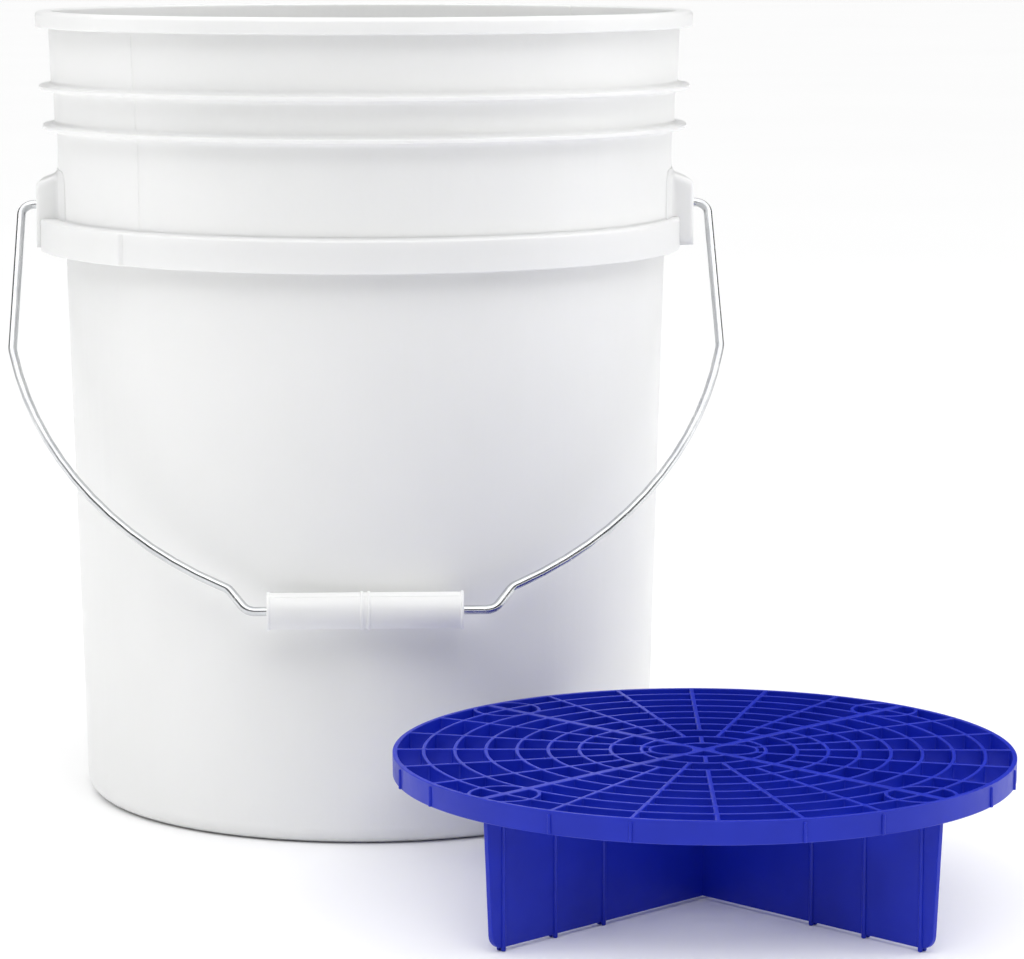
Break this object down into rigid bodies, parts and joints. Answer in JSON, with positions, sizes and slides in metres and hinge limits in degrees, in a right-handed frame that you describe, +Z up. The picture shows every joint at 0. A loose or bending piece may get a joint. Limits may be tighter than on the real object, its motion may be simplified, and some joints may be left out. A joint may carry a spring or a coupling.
{
  "type": "wash bucket",
  "caption": "Tall round plastic pail with a wire bail and roll grip, and a round openwork grit guard on crossed legs that stands beside it.",
  "frame": {"origin": "on the bucket's axis, at the face that its foot ring stands on", "axes": "+Z up along the bucket's axis, X through the two bail ears, -Y towards the side where the bail hangs and the guard stands"},
  "size_m": [0.4315, 0.5149, 0.366],
  "materials": {
    "white_polyethylene": "satin, milky translucent moulding",
    "grip_polyethylene": "satin, milky translucent moulding",
    "zinc_plated_wire": "drawn wire, bright zinc plating",
    "blue_polypropylene": "glossy moulding"
  },
  "bodies": {
    "bucket": {"bucket_floor": "white_polyethylene", "bucket_foot": "white_polyethylene", "bucket_lower_wall": "white_polyethylene", "bucket_upper_wall": "white_polyethylene", "bucket_rim": "white_polyethylene", "upper_stacking_ring": "white_polyethylene", "lower_stacking_ring": "white_polyethylene", "bail_band": "white_polyethylene", "right_bail_ear": "white_polyethylene", "left_bail_ear": "white_polyethylene"},
    "bail": {"bail_wire": "zinc_plated_wire"},
    "grip": {"hand_grip": "grip_polyethylene"},
    "guard": {"guard_hoop": "blue_polypropylene", "guard_hub": "blue_polypropylene", "guard_grid_right": "blue_polypropylene", "guard_grid_back": "blue_polypropylene", "guard_grid_left": "blue_polypropylene", "guard_grid_front": "blue_polypropylene", "guard_leg_back_right": "blue_polypropylene", "guard_leg_back_left": "blue_polypropylene", "guard_leg_front_left": "blue_polypropylene", "guard_leg_front_right": "blue_polypropylene"}
  },
  "joints": [
    {"name": "bail_swing", "type": "hinge", "parent": "bucket", "child": "bail", "pos_m": [0, 0, 0.276], "axis": [-1, 0, 0], "range_deg": [0, 278.4]},
    {"name": "grip_spin", "type": "hinge", "parent": "bail", "child": "grip", "pos_m": [0, -0.1447, 0.1083], "axis": [1, 0, 0], "continuous": true},
    {"name": "guard_lift", "type": "slide", "parent": "bucket", "child": "guard", "axis": [0.361, -0.608, 0.7071], "range_m": [0, 0.6]}
  ]
}
